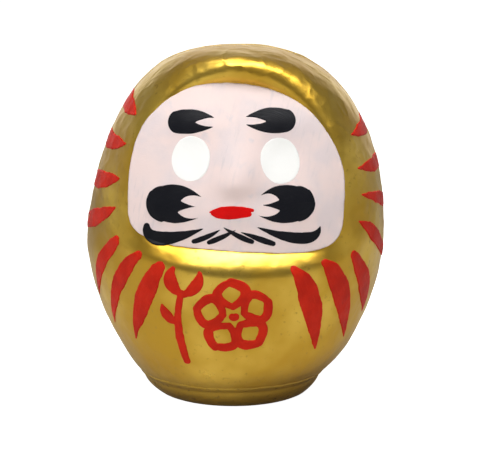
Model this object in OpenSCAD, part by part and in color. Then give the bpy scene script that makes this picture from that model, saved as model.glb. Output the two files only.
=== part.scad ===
// Daruma doll: two moulded paper half shells on a clay weight, papered,
// gilded and painted by hand. It rights itself when it is tipped.
// Millimetres. Origin: centre of the resting face. +Z up, the face looks to -Y.

/* [Body] */

// Height from the resting face to the crown
body_h = 160; // [100:1:240]
// Widest breadth, left to right
body_w = 136; // [90:1:200]
// Depth of the front half, joint plane to belly
front_d = 63; // [40:0.5:95]
// Depth of the back half, joint plane to back
back_d = 63; // [40:0.5:95]
// Height of the widest level
wide_z = 70; // [50:1:90]
// Height of the shell's lower rim
rim_z = 9; // [6:0.5:14]
// Thickness of the paper wall
wall_t = 2.4; // [1.5:0.1:4]
// Fullness of the crown, first power
crown_p = 1.95; // [1.5:0.05:3]
// Fullness of the crown, second power
crown_q = 2.65; // [1.5:0.05:3.5]
// Squareness of the forehead in profile, first power
brow_p = 3; // [2:0.1:4]
// Squareness of the forehead in profile, second power
brow_q = 3.5; // [2:0.1:5]
// Fall of the lower body, reach below the widest level
foot_reach = 73; // [71:0.5:90]
// Fall of the lower body, first power
foot_p = 1.5; // [1.2:0.05:2.5]
// Fall of the lower body, second power
foot_q = 2.8; // [2:0.05:3.5]

/* [Face] */

// Half breadth of the painted face
face_w = 46.6; // [30:0.1:55]
// Height of the widest level of the face
face_z = 99; // [85:0.5:110]
// Reach of the face above that level
face_up = 46.8; // [30:0.1:52]
// Reach of the face below that level
face_dn = 23.6; // [15:0.1:30]
// Roundness of the upper face outline
face_round_up = 2.25; // [2:0.05:4]
// Squareness of the lower face outline
face_round_dn = 4.4; // [2:0.1:6]
// Lean of the brow and chin lines, rise per millimetre to the left
face_lean = 0.06; // [0:0.01:0.1]
// Depth of the sunken panel from the joint plane
panel_d = 56; // [45:0.5:60]
// Height where the panel stands furthest forward
panel_z = 80; // [70:1:105]
// Upright radius of the panel
panel_r = 127.5; // [60:0.5:160]
// Sideways half axis of the panel
panel_side = 80; // [55:1:95]
// Breadth of the slope over and beside the panel
slope_w = 12; // [4:0.5:16]
// Breadth of the slope under the panel, up to the chest
chest_slope_w = 17; // [6:0.5:20]
// Height of the swelling round the face
hood_t = 2; // [0:0.1:4]
// Extra swelling over the forehead, as a share of that height
hood_crest = 1.5; // [0:0.1:2]
// Stand of the nose
nose_t = 4; // [0:0.1:7]
// Height of the nose tip
nose_z = 105; // [95:1:115]

/* [Base] */

// Radius of the flat of the weight
sole_r = 31.5; // [24:0.5:36]
// Radius of the spigot inside the shell
spigot_r = 37.5; // [30:0.5:38]
// Height the spigot reaches to
spigot_z = 17; // [12:0.5:24]
// Radius of the hollow in the top of the weight
dish_r = 22; // [0:0.5:30]
// Depth of the hollow in the top of the weight
dish_t = 5; // [2:0.5:8]
// Thickness of the paper under the weight
sole_t = 0.5; // [0.3:0.1:1]
// Top edge of the paper band round the base
band_z = 12.5; // [11:0.5:16]
// Thickness of the paper band
band_t = 0.4; // [0.3:0.1:1]
// Breadth of the paper strip over the side joint
strip_w = 9; // [5:0.5:14]
// Thickness of the paper strip
strip_t = 0.3; // [0.2:0.1:0.6]

/* [Paint] */

// Thickness of the face coat
coat_t = 0.25; // [0.15:0.05:0.5]
// Thickness of a brushed mark
paint_t = 0.35; // [0.2:0.05:0.6]
// Direction the chest stripes are laid from, degrees from the front
chest_turn = 45; // [30:1:60]
// Direction the hood stripes are laid from, degrees from the front
hood_turn = 70; // [50:1:85]
// Centre of the chest flower, sideways
flower_x = -1; // [-12:0.5:12]
// Centre of the chest flower, height
flower_z = 47.5; // [40:0.5:55]
// Reach of a petal from the flower's centre
petal_reach = 18; // [12:0.5:20]
// Half breadth of a petal
petal_w = 6.6; // [4:0.1:8]
// Half breadth of the brush line round a petal
petal_line = 1.9; // [1:0.1:3]

/* [Mesh] */

// Divisions round the front half
front_n = 40; // [24:2:64]
// Divisions round the back half
back_n = 16; // [10:2:40]
// Levels below the widest
low_n = 9; // [6:1:20]
// Levels above the widest
high_n = 30; // [16:1:48]

/* [Hidden] */
half_w = body_w / 2;
crown = body_h - wide_z;
shell_foot_r = half_w * pow(1 - pow((wide_z - rim_z) / foot_reach, foot_p), 1 / foot_q);
foot_side = [
    [sole_r + 2.5, sole_t + 0.8],
    [sole_r + 5.3, 3.6],
    [sole_r + 7.4, 6],
    [shell_foot_r - 0.1, rim_z]
];
big = 3 * body_h;
tip_r = 0.3;
face_layer = [0, coat_t];
mark_layer = [coat_t, coat_t + paint_t];
gold_layer = [0, paint_t];

// ---- shape of the body -------------------------------------------------

function hold(t) = max(0, min(1, t));
function smooth(t) = pow(hold(t), 2) * (3 - 2 * hold(t));

// Share of the full size at a level, above and below the widest
function rise(z, p, q) = pow(1 - pow(hold((z - wide_z) / crown), p), 1 / q);
function fall(z) = pow(1 - pow(hold((wide_z - z) / foot_reach), foot_p), 1 / foot_q);

// The body is round at the foot and slightly shallower than wide above it
function squash(z, d) = 1 + (d / half_w - 1) * smooth((z - 14) / 31);

function half_width(z) = half_w * (z >= wide_z ? rise(z, crown_p, crown_q) : fall(z));
function half_front(z) =
    z >= wide_z ? front_d * rise(z, brow_p, brow_q) : half_w * fall(z) * squash(z, front_d);
function half_back(z) =
    z >= wide_z ? back_d * rise(z, crown_p, crown_q) : half_w * fall(z) * squash(z, back_d);

// How far a spot lies outside the face outline, negative inside it
function lean(x, z) = z - face_z + face_lean * x * smooth(abs(z - face_z) / face_dn);
function reach(x, v) =
    let (h = v >= 0 ? face_up : face_dn, n = v >= 0 ? face_round_up : face_round_dn)
    pow(pow(abs(x) / face_w, n) + pow(abs(v) / h, n), 1 / n);
function outside(x, z) =
    let (v = lean(x, z), s = max(reach(x, v), 0.001))
    norm([x, v]) * (1 - 1 / s);

// The sunken panel, the nose on it and the swelling round it
function panel(x, z) =
    (panel_d - pow(z - panel_z, 2) / (2 * panel_r)) * sqrt(1 - pow(hold(abs(x) / panel_side), 2));
function nose(x, z) =
    nose_t * exp(-pow(x / 8.5, 2)) * exp(-pow((z - nose_z) / (z < nose_z ? 6.5 : 14), 2));
function crest(z) = (1 + hood_crest * smooth((z - 132) / 20)) * sqrt(hold((body_h - z) / 3));
function hood(d, z) = hood_t * exp(-pow((d - 12) / 5, 2)) * smooth((z - 60) / 20) * crest(z);
function slope(d, z) =
    let (w = slope_w + (chest_slope_w - slope_w) * smooth((88 - z) / 14))
    pow(1 - hold(d / w), 2.3);
function front_depth(x, z, c) =
    let (d = outside(x, z), m = slope(d, z))
    half_front(z) * c * (1 - m) + (panel(x, z) + nose(x, z)) * m + hood(d, z) * c;

// One point of the skin, a degrees round from the left
function skin(z, a) =
    let (c = abs(sin(a)), x = -half_width(z) * cos(a))
    [x, a < 180 && a > 0 ? -front_depth(x, z, c) : half_back(z) * c, z];

// The way the skin faces there
function facing(z, a) =
    let (e = min(0.05, (body_h - z) / 4))
    let (n = cross(skin(z, a + 0.2) - skin(z, a - 0.2), skin(z + e, a) - skin(z - e, a)))
    n / norm(n);

// The same point g millimetres outwards; the foot and the joint stay flat
function grown(z, a, g) =
    let (n = facing(z, a), at_foot = z <= rim_z, at_joint = a == 0 || a == 180)
    let (m = [n[0], at_joint ? 0 : n[1], at_foot ? 0 : n[2]])
    skin(z, a) + g * m / norm(m);

turns = concat(
    [for (i = [0:front_n - 1]) 180 * i / front_n],
    [for (i = [0:back_n - 1]) 180 + 180 * i / back_n]
);
levels = concat(
    [for (i = [0:low_n - 1]) rim_z + (wide_z - rim_z) * i / low_n],
    [for (i = [0:high_n - 1]) wide_z + crown * sin(90 * i / high_n)]
);
round_n = len(turns);
level_n = len(levels);

// Whole body as one closed blank, grown outwards by g; drop lowers its foot
module blank(g, drop = 0) {
    ring = [for (z = levels) for (a = turns) grown(z, a, g)];
    foot = [for (a = turns) grown(rim_z, a, g) - [0, 0, drop]];
    low = drop > 0 ? concat(foot, ring) : ring;
    rows = drop > 0 ? level_n + 1 : level_n;
    top = [0, 0, body_h + g];
    pts = concat(low, [top]);
    sides = [
        for (i = [0:rows - 2]) for (j = [0:round_n - 1])
            let (k = (j + 1) % round_n, a = i * round_n, b = a + round_n)
            each [[a + j, b + k, a + k], [a + j, b + j, b + k]]
    ];
    last = (rows - 1) * round_n;
    cap = [for (j = [0:round_n - 1]) [last + j, rows * round_n, last + (j + 1) % round_n]];
    sole = [[for (j = [0:round_n - 1]) j]];
    polyhedron(points = pts, faces = concat(sides, cap, sole));
}

// Keeps a sculpted piece as one surface
module sculpted() {
    resize([0, 0, 0]) children();
}

// Thin coat lying between two heights over the skin
module coat(span) {
    difference() {
        blank(span[1]);
        blank(span[0], 1);
    }
}

// Space in front of (side = -1) or behind (side = 1) the joint plane
module half_space(side) {
    translate([-big / 2, side < 0 ? -big : 0, -big / 2]) cube(big);
}

// ---- brushwork ---------------------------------------------------------

// A stroke is [start, bend, end, half breadths at start, middle and end]
function bend(s, t) = pow(1 - t, 2) * s[0] + 2 * t * (1 - t) * s[1] + t * t * s[2];
function heading(s, t) =
    let (d = (1 - t) * (s[1] - s[0]) + t * (s[2] - s[1])) d / max(norm(d), 0.001);
function breadth(w, t) =
    max(tip_r, w[0] * (1 - t) * (1 - 2 * t) + 4 * w[1] * t * (1 - t) + w[2] * t * (2 * t - 1));
function edge(s, t, side) =
    let (h = heading(s, t)) bend(s, t) + side * breadth(s[3], t) * [-h[1], h[0]];

module stroke(s, n = 9) {
    polygon(concat(
        [for (i = [0:n]) edge(s, i / n, 1)],
        [for (i = [n:-1:0]) edge(s, i / n, -1)]
    ));
    translate(s[0]) circle(r = s[3][0], $fn = 12);
    translate(s[2]) circle(r = max(tip_r, s[3][2]), $fn = 8);
}

module strokes(list) {
    for (s = list) stroke(s);
}

function mirrored(s) = [[-s[0][0], s[0][1]], [-s[1][0], s[1][1]], [-s[2][0], s[2][1]], s[3]];

// Lays a flat drawing on the body, looking at it from turn degrees off the front
module laid(turn, span) {
    sculpted() intersection() {
        coat(span);
        rotate([0, 0, turn]) rotate([90, 0, 0]) linear_extrude(big / 4) children();
    }
}

// ---- shell and base ----------------------------------------------------

gold = [0.79, 0.62, 0.22];
red = [0.76, 0.12, 0.08];
black = [0.07, 0.07, 0.09];

module shell_half(side) {
    color(gold) sculpted() intersection() {
        difference() {
            blank(0);
            blank(-wall_t, 1);
        }
        half_space(side);
    }
}

module shell_front() {
    shell_half(-1);
}

module shell_back() {
    shell_half(1);
}

module seam_strip() {
    color(gold) sculpted() intersection() {
        coat([0, strip_t]);
        translate([-big / 2, -strip_w / 2, band_z + 0.2]) cube([big, strip_w, big]);
    }
}

module base_weight() {
    color([0.62, 0.50, 0.38]) difference() {
        rotate_extrude($fn = 96) polygon([
            [0, sole_t],
            [sole_r, sole_t],
            for (p = foot_side) p,
            [spigot_r, rim_z],
            [spigot_r, spigot_z - 2],
            [spigot_r - 2, spigot_z],
            [0, spigot_z]
        ]);
        translate([0, 0, spigot_z - dish_t])
            cylinder(r1 = dish_r - 4, r2 = dish_r, h = dish_t + 1, $fn = 72);
    }
}

module glue_ring() {
    color([0.80, 0.70, 0.46]) difference() {
        translate([0, 0, rim_z])
            cylinder(r = shell_foot_r * (1 - wall_t / half_w) - 0.3, h = 4.5, $fn = 96);
        translate([0, 0, rim_z - 1]) cylinder(r = spigot_r, h = 7, $fn = 96);
    }
}

module base_band() {
    n = 3;
    up = [for (i = [0:n]) rim_z + (band_z - rim_z) * i / n];
    foot = [for (i = [0:len(foot_side) - 2]) foot_side[i] + [0.05, 0]];
    inner = concat(foot, [for (z = up) [half_width(z) + 0.02, z]]);
    outer = [for (i = [len(inner) - 1:-1:0]) inner[i] + [band_t, i == 0 ? -0.2 : 0]];
    color([0.66, 0.50, 0.17]) rotate_extrude($fn = 96) polygon(concat(inner, outer));
}

module bottom_paper() {
    color([0.80, 0.70, 0.50]) cylinder(r = sole_r - 0.3, h = sole_t, $fn = 96);
}

// ---- face --------------------------------------------------------------

module face_outline() {
    n = 44;
    polygon([
        for (i = [0:n - 1])
            let (a = 360 * i / n, c = [cos(a), sin(a)], s = reach(c[0], c[1]))
            let (x = c[0] / s, v = c[1] / s)
            [x, face_z + v - (v < 0 ? face_lean * x * smooth(-v / face_dn) : 0)]
    ]);
}

module face_coat() {
    color([0.95, 0.83, 0.82]) laid(0, face_layer) face_outline();
}

module eye(x, z, tilt) {
    color([0.98, 0.98, 0.97]) laid(0, mark_layer)
        translate([x, z]) rotate(tilt) scale([8.1, 9.5]) circle(r = 1, $fn = 32);
}

module face_mark(list) {
    color(black) laid(0, mark_layer) strokes(list);
}

left_brow_strokes = [
    [[-24.37, 129.79], [-17.07, 134.69], [-9.47, 131.69], [4.9, 2.5, 0.12]],
    [[-24.37, 129.59], [-17.67, 125.39], [-9.77, 128.19], [4.8, 2.3, 0.12]]
];
right_brow_strokes = [
    [[20.3, 130.3], [12.5, 135.0], [3.9, 132.3], [4.9, 2.3, 0.15]],
    [[20.3, 130.3], [13.0, 125.6], [3.9, 129.0], [4.9, 2.0, 0.15]]
];
left_cheek_strokes = [
    [[-30.7, 94.7], [-24.5, 103.6], [-14.9, 98.7], [7.6, 2.9, 0.15]],
    [[-30.7, 94.7], [-24.5, 94.2], [-17.4, 94.5], [7.6, 2.6, 0.15]],
    [[-30.7, 94.7], [-24.5, 85.6], [-16.0, 89.5], [7.6, 2.4, 0.15]]
];
right_cheek_strokes = [
    [[25.87, 95.25], [18.37, 104.55], [9.67, 99.65], [7.5, 2.4, 0.15]],
    [[25.87, 95.25], [17.87, 94.75], [9.27, 95.45], [7.5, 2.3, 0.15]],
    [[25.87, 95.25], [17.87, 84.95], [8.67, 91.25], [7.5, 2.5, 0.15]]
];
left_moustache_strokes = [
    [[-39.4, 85.8], [-37.3, 75.4], [-13.4, 85.5], [0.7, 3.0, 0.1]]
];
right_moustache_strokes = [
    [[36.23, 86.23], [33.33, 75.63], [8.23, 86.23], [0.7, 2.7, 0.1]]
];
mouth_strokes = [
    [[-9.2, 92.3], [-1.5, 93.4], [4.9, 92.8], [1.5, 2.4, 2.0]]
];

// The four short bristles under the mouth: blob, bend, tip
left_outer_strokes = [[[-18.2, 79.7], [-12.5, 81.2], [-6.9, 84.9], [1.0, 1.1, 0.1]]];
left_inner_strokes = [[[-11.6, 79.4], [-6.5, 81.2], [-0.3, 84.8], [1.0, 1.1, 0.1]]];
right_inner_strokes = [[[6.6, 79.8], [0.5, 81.8], [-5.6, 86.0], [1.0, 1.1, 0.1]]];
right_outer_strokes = [[[15.6, 78.8], [9.5, 81.0], [1.8, 83.9], [1.1, 1.2, 0.1]]];

module left_eye() {
    eye(-19.4, 114.4, -12);
}

module right_eye() {
    eye(18.5, 113.7, 17);
}

module left_brow() {
    face_mark(left_brow_strokes);
}

module right_brow() {
    face_mark(right_brow_strokes);
}

module left_cheek_whiskers() {
    face_mark(left_cheek_strokes);
}

module right_cheek_whiskers() {
    face_mark(right_cheek_strokes);
}

module left_moustache() {
    face_mark(left_moustache_strokes);
}

module right_moustache() {
    face_mark(right_moustache_strokes);
}

module left_outer_bristle() {
    face_mark(left_outer_strokes);
}

// The two inner bristles cross; the left one is laid first and the right one over it
module left_inner_bristle() {
    face_mark(left_inner_strokes);
}

module right_inner_bristle() {
    color(black) sculpted() difference() {
        laid(0, [mark_layer[0], mark_layer[1] + paint_t / 2]) strokes(right_inner_strokes);
        laid(0, [mark_layer[0] - 0.05, mark_layer[1]]) strokes(left_inner_strokes);
    }
}

module right_outer_bristle() {
    face_mark(right_outer_strokes);
}

module mouth() {
    color(red) laid(0, mark_layer) strokes(mouth_strokes);
}

// ---- stripes -----------------------------------------------------------

// Hood stripes: pointed at the face, broad towards the back
left_hood = [
    [[16, 131.5], [4, 134.5], [-18, 138], [0.3, 3.4, 3.4]],
    [[17.3, 119.2], [6, 117.5], [-18, 119.5], [0.5, 3.3, 3.4]],
    [[18, 104.2], [8, 101.5], [-17, 100.5], [0.4, 3.6, 3.6]],
    [[18, 91.5], [7, 85.5], [-17, 81], [0.6, 3.6, 3.5]]
];
right_hood = [
    [[-13.5, 122.8], [2, 123.5], [19, 126.5], [0.3, 3, 3.4]],
    [[-16, 108.5], [0, 108], [19, 108.5], [0.3, 3, 3.4]],
    [[-15.5, 97], [0, 94], [19, 90], [0.3, 2.8, 3.4]],
    [[-18.5, 85.6], [-6, 79], [13, 67.5], [0.4, 3.5, 2.6]]
];

// Chest stripes, from the side towards the middle: round above, pointed below
left_chest = [
    [[-7.2, 77.5], [-24.9, 65.4], [-32.2, 48.2], [2.2, 3.7, 0.1]],
    [[5.98, 73.05], [-10.32, 61.55], [-21.32, 36.95], [1.9, 3.6, 0.1]],
    [[16.3, 68.7], [4.7, 54.8], [-6.0, 32.7], [2.5, 4.2, 0.4]]
];
right_chest = [
    [[6.4, 71.2], [23.7, 54.0], [25.6, 41.1], [2.3, 4.7, 0.1]],
    [[-9.4, 69.5], [2.8, 58.6], [13.0, 31.9], [2.0, 4.9, 0.4]],
    [[-23.2, 68.0], [-11.5, 52.2], [-5.6, 29.7], [1.5, 4.7, 0.4]]
];

// Space within a distance of the joint plane
module joint_slab(d) {
    translate([-big / 2, -d, -big / 2]) cube([big, 2 * d, big]);
}

// A hood stripe runs over the paper strip on the side joint
module hood_stripe(s, turn) {
    color(red) sculpted() union() {
        difference() {
            laid(turn, [0, paint_t + 0.1]) stroke(s);
            joint_slab(strip_w / 2 + 0.1);
        }
        intersection() {
            laid(turn, [strip_t, strip_t + paint_t]) stroke(s);
            joint_slab(strip_w / 2 + 0.8);
        }
    }
}

module chest_stripe(s, turn) {
    color(red) laid(turn, gold_layer) stroke(s);
}

// ---- chest ornament ----------------------------------------------------

// One side of a petal, drawn from the heart out to the tip
function petal_side(side) = [
    [[0, 4.6], [side * petal_w * 1.9, petal_reach * 0.62], [0, petal_reach - petal_line]],
    [petal_line * 0.75, petal_line * 1.1, petal_line * 0.9]
];

module petal() {
    for (side = [-1, 1]) {
        p = petal_side(side);
        stroke([p[0][0], p[0][1], p[0][2], p[1]], 8);
    }
}

module chest_flower() {
    color(red) laid(0, gold_layer)
        translate([flower_x, flower_z])
            for (i = [0:4]) rotate(72 * i + 6) petal();
}

module flower_heart() {
    color(red) laid(0, gold_layer) translate([flower_x, flower_z]) circle(r = 2, $fn = 20);
}

sprig_strokes = [
    [[-21.5, 25.5], [-27.5, 42], [-23.5, 58], [1.6, 1.7, 1.2]],
    [[-23.3, 57.0], [-30.5, 62], [-27.0, 68.5], [1.0, 2.9, 1.0]],
    [[-23.3, 56.5], [-15.5, 60], [-15.5, 67.0], [1.0, 2.7, 0.9]],
    [[-25.3, 43.5], [-30.5, 45], [-32.0, 51.5], [0.9, 2.3, 0.5]]
];

module chest_sprig() {
    color(red) laid(0, gold_layer) strokes(sprig_strokes);
}

// ---- assembly ----------------------------------------------------------

shell_front();
shell_back();
seam_strip();
base_weight();
glue_ring();
base_band();
bottom_paper();
face_coat();
left_eye();
right_eye();
left_brow();
right_brow();
left_cheek_whiskers();
right_cheek_whiskers();
left_moustache();
right_moustache();
left_outer_bristle();
left_inner_bristle();
right_inner_bristle();
right_outer_bristle();
mouth();
hood_stripe(left_hood[0], -hood_turn);  // left_hood_stripe_1
hood_stripe(left_hood[1], -hood_turn);  // left_hood_stripe_2
hood_stripe(left_hood[2], -hood_turn);  // left_hood_stripe_3
hood_stripe(left_hood[3], -hood_turn);  // left_hood_stripe_4
hood_stripe(right_hood[0], hood_turn);  // right_hood_stripe_1
hood_stripe(right_hood[1], hood_turn);  // right_hood_stripe_2
hood_stripe(right_hood[2], hood_turn);  // right_hood_stripe_3
hood_stripe(right_hood[3], hood_turn);  // right_hood_stripe_4
chest_stripe(left_chest[0], -chest_turn);  // left_chest_stripe_1
chest_stripe(left_chest[1], -chest_turn);  // left_chest_stripe_2
chest_stripe(left_chest[2], -chest_turn);  // left_chest_stripe_3
chest_stripe(right_chest[0], chest_turn);  // right_chest_stripe_1
chest_stripe(right_chest[1], chest_turn);  // right_chest_stripe_2
chest_stripe(right_chest[2], chest_turn);  // right_chest_stripe_3
chest_flower();
flower_heart();
chest_sprig();
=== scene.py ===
import math

import bpy
import numpy as np
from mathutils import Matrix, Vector


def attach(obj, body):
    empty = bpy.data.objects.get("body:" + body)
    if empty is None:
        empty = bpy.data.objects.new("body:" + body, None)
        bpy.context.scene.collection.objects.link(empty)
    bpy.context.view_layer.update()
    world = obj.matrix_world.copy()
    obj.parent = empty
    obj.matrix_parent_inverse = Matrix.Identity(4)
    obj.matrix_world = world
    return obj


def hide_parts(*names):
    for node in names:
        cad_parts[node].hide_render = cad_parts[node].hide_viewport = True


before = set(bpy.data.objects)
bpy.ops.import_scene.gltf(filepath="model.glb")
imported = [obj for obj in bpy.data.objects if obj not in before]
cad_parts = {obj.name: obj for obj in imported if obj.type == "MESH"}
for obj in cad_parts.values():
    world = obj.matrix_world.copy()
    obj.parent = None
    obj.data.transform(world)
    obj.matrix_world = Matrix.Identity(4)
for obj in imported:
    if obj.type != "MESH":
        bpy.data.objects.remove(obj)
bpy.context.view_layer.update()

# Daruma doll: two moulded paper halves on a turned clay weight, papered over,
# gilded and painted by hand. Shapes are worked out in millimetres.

MM = 0.001
BODY = "root"
TAU = 2.0 * math.pi


# ---- one formula for plain numbers and for node trees ----------------------

class Sum:
    """A number in a node tree, so that a formula reads the same there as on plain numbers."""

    def __init__(self, tree, socket):
        self.tree, self.socket = tree, socket

    def math(self, kind, *others, clamp=False):
        made = self.tree.nodes.new("ShaderNodeMath")
        made.operation, made.use_clamp = kind, clamp
        join(self.tree, *zip((self,) + others, made.inputs))
        return Sum(self.tree, made.outputs[0])

    def __add__(self, o):
        return self.math("ADD", o)

    def __sub__(self, o):
        return self.math("SUBTRACT", o)

    def __mul__(self, o):
        return self.math("MULTIPLY", o)

    def __truediv__(self, o):
        return self.math("DIVIDE", o)

    def __rsub__(self, o):
        return self.math("MULTIPLY", -1.0).math("ADD", o)

    def __rtruediv__(self, o):
        return self.math("POWER", -1.0).math("MULTIPLY", o)

    __radd__, __rmul__ = __add__, __mul__


def join(tree, *pairs):
    """Feeds each input from a formula, a socket, or a plain number, vector or colour."""
    for value, slot in pairs:
        if isinstance(value, Sum):
            value = value.socket
        if isinstance(value, bpy.types.NodeSocket):
            tree.links.new(value, slot)
        else:
            slot.default_value = value


def hold(t):
    return t.math("ADD", 0.0, clamp=True) if isinstance(t, Sum) else np.clip(t, 0.0, 1.0)


def power(base, exponent):
    return base.math("POWER", exponent) if isinstance(base, Sum) else np.power(base, exponent)


def size_of(t):
    return t.math("ABSOLUTE") if isinstance(t, Sum) else np.abs(t)


def sine(t):
    return t.math("SINE") if isinstance(t, Sum) else np.sin(t)


def cosine(t):
    return t.math("COSINE") if isinstance(t, Sum) else np.cos(t)


def bell(t):
    """Falls from one at nought to almost nothing at two."""
    return (t * t * -1.0).math("EXPONENT") if isinstance(t, Sum) else np.exp(-t * t)


def either(test, yes, no):
    """Yes where the test is above nought, otherwise no."""
    mask = test.math("GREATER_THAN", 0.0) if isinstance(test, Sum) else np.where(test > 0, 1.0, 0.0)
    return mask * yes + (1.0 - mask) * no


def smooth(t):
    t = hold(t)
    return t * t * (3.0 - 2.0 * t)


# ---- the form of the doll ---------------------------------------------------

SIZES = {
    "Height": 160.0,
    "Half Breadth": 68.0,
    "Front Depth": 63.0,
    "Back Depth": 63.0,
    "Widest Level": 70.0,
    "Rim Level": 9.0,
    "Hood Swell": 2.0,
    "Nose Height": 4.0,
}
CROWN, BROW = (1.95, 2.65), (3.0, 3.5)  # how full the top is, seen from the front, and at the hood
FALL = 73.0  # the sides would meet this far below the widest level
SOLE_STEP = 8.0  # the sole is this much narrower than the rim
FACE_W, FACE_Z, FACE_UP, FACE_DN = 46.6, 99.0, 46.8, 23.6
ROUND_UP, ROUND_DN, FACE_LEAN = 2.25, 4.4, 0.06
SLOPE, SLOPE_MORE, SLOPE_CURVE = 12.0, 5.0, 2.3  # the slope from the panel up to the gold
PANEL_D, PANEL_Z, PANEL_SIDE, PANEL_BOW = 56.0, 80.0, 80.0, 255.0
CREST = 1.5  # how much more the hood swells over the brow than at the sides
WALL = 2.4


class Form:
    """The doll's surface, from an angle round it and a level above the floor."""

    def __init__(self, height, half_w, front_d, back_d, wide_z, rim_z, swell, nose):
        self.height, self.half_w = height, half_w
        self.front_d, self.back_d = front_d, back_d
        self.wide_z, self.rim_z = wide_z, rim_z
        self.swell, self.nose_h = swell, nose

    def rise(self, z, p, q):
        part = hold((z - self.wide_z) / (self.height - self.wide_z))
        return power(hold(1.0 - power(part, p)), 1.0 / q)

    def fall(self, z):
        return power(1.0 - power(hold((self.wide_z - z) / FALL), 1.5), 1.0 / 2.8)

    def foot(self, z):
        rim = self.half_w * self.fall(self.rim_z)
        return rim - SOLE_STEP * power(hold(1.0 - z / self.rim_z), 1.7)

    def squash(self, z, depth):
        """The body is round at the foot and takes its own depth further up."""
        return 1.0 + (depth / self.half_w - 1.0) * smooth((z - 14.0) / 31.0)

    def half_width(self, z):
        upper = self.half_w * self.rise(z, *CROWN) * self.fall(z)
        return either(z - self.rim_z, upper, self.foot(z))

    def half_front(self, z):
        upper = self.half_w * self.squash(z, self.front_d) * self.rise(z, *BROW) * self.fall(z)
        return either(z - self.rim_z, upper, self.foot(z))

    def half_back(self, z):
        upper = self.half_w * self.squash(z, self.back_d) * self.rise(z, *CROWN) * self.fall(z)
        return either(z - self.rim_z, upper, self.foot(z))

    def lean(self, z):
        """Sideways drift of a hand-made body that never stands quite true."""
        crown = 1.9 * smooth((z - 65.0) / 45.0) - 0.9 * smooth((z - 138.0) / 20.0)
        return crown - 0.7 - 1.4 * bell((z - 8.0) / 9.0)

    def outside(self, x, z):
        """How far a spot lies outside the face outline, negative inside it."""
        v = z - FACE_Z + FACE_LEAN * x * smooth(size_of(z - FACE_Z) / FACE_DN)
        reach_z, n = either(v, FACE_UP, FACE_DN), either(v, ROUND_UP, ROUND_DN)
        spread = power(size_of(x) / FACE_W, n) + power(size_of(v) / reach_z, n)
        spread = power(spread, 1.0 / n) + 0.001
        return power(x * x + v * v, 0.5) * (1.0 - 1.0 / spread)

    def face_share(self, x, z):
        """One on the sunken face panel, falling to nought at the edge of the slope round it."""
        breadth = SLOPE + SLOPE_MORE * smooth((88.0 - z) / 14.0)
        return power(1.0 - hold(self.outside(x, z) / breadth), SLOPE_CURVE)

    def panel(self, x, z):
        side = power(hold(1.0 - (x / PANEL_SIDE) * (x / PANEL_SIDE)), 0.5)
        return (PANEL_D - (z - PANEL_Z) * (z - PANEL_Z) / PANEL_BOW) * side

    def features(self, x, z):
        """Nose, cheeks, brow ridge and eye hollows standing on the panel."""
        drop = either(z - 105.0, 14.0, 6.5)
        nose = self.nose_h * bell(x / 8.5) * bell((z - 105.0) / drop)
        side = size_of(x)
        cheeks = 1.0 * bell((side - 28.0) / 11.0) * bell((z - 94.0) / 9.0)
        ridge = 1.3 * bell((side - 18.0) / 14.0) * bell((z - 129.0) / 7.0)
        hollow = -1.0 * bell((side - 19.0) / 9.0) * bell((z - 115.0) / 9.0)
        lip = 0.8 * bell(x / 12.0) * bell((z - 91.0) / 4.5)
        return nose + cheeks + ridge + hollow + lip

    def front_depth(self, x, z, c):
        share = self.face_share(x, z)
        crest = 1.0 + CREST * smooth((z - 132.0) / 20.0)
        crest = crest * power(hold((self.height - z) / 3.0), 0.5) * smooth((z - 60.0) / 20.0)
        swell = self.swell * bell((self.outside(x, z) - 12.0) / 5.0) * crest
        on_face = (self.panel(x, z) + self.features(x, z)) * share
        return self.half_front(z) * c * (1.0 - share) + on_face + swell * c

    def point(self, angle, z):
        x = self.lean(z) - self.half_width(z) * cosine(angle)
        s = sine(angle)
        c = size_of(s)
        return x, either(s, -1.0 * self.front_depth(x, z, c), self.half_back(z) * c), z


FORM = Form(*SIZES.values())


# ---- node tree helpers ------------------------------------------------------

SOCKETS = {
    "float": "NodeSocketFloat",
    "vector": "NodeSocketVector",
    "geometry": "NodeSocketGeometry",
    "material": "NodeSocketMaterial",
    "colour": "NodeSocketColor",
}


def new_tree(name, kind, inputs, outputs):
    """A node tree with named sockets; returns it, its inputs by name and its outputs."""
    tree = bpy.data.node_groups.new(name, kind)
    for label, sort, value in inputs:
        socket = tree.interface.new_socket(label, in_out="INPUT", socket_type=SOCKETS[sort])
        if value is not None:
            socket.default_value = value
    for label, sort in outputs:
        tree.interface.new_socket(label, in_out="OUTPUT", socket_type=SOCKETS[sort])
    start, end = tree.nodes.new("NodeGroupInput"), tree.nodes.new("NodeGroupOutput")
    return tree, {s.name: Sum(tree, s) for s in start.outputs if s.name}, end.inputs


def node(tree, kind, **settings):
    made = tree.nodes.new(kind)
    for key, value in settings.items():
        setattr(made, key, value)
    return made


def vector_math(tree, kind, *values):
    """A vector sum; the second value of a scale is a number."""
    made = node(tree, "ShaderNodeVectorMath", operation=kind)
    slots = [made.inputs[0], made.inputs[3] if kind == "SCALE" else made.inputs[1]]
    join(tree, *zip(values, slots))
    return made.outputs[0]


def combine(tree, x, y, z):
    made = node(tree, "ShaderNodeCombineXYZ")
    join(tree, *zip((x, y, z), made.inputs))
    return made.outputs[0]


def texture(tree, place, scale, detail, warp=0.0, seed=None):
    """Cloudy noise between nought and one."""
    made = node(tree, "ShaderNodeTexNoise", noise_dimensions="3D" if seed is None else "4D")
    join(tree, (place, made.inputs["Vector"]), (scale, made.inputs["Scale"]),
         (detail, made.inputs["Detail"]), (warp, made.inputs["Distortion"]))
    if seed is not None:
        join(tree, (seed, made.inputs["W"]))
    return Sum(tree, made.outputs["Fac"])


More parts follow.
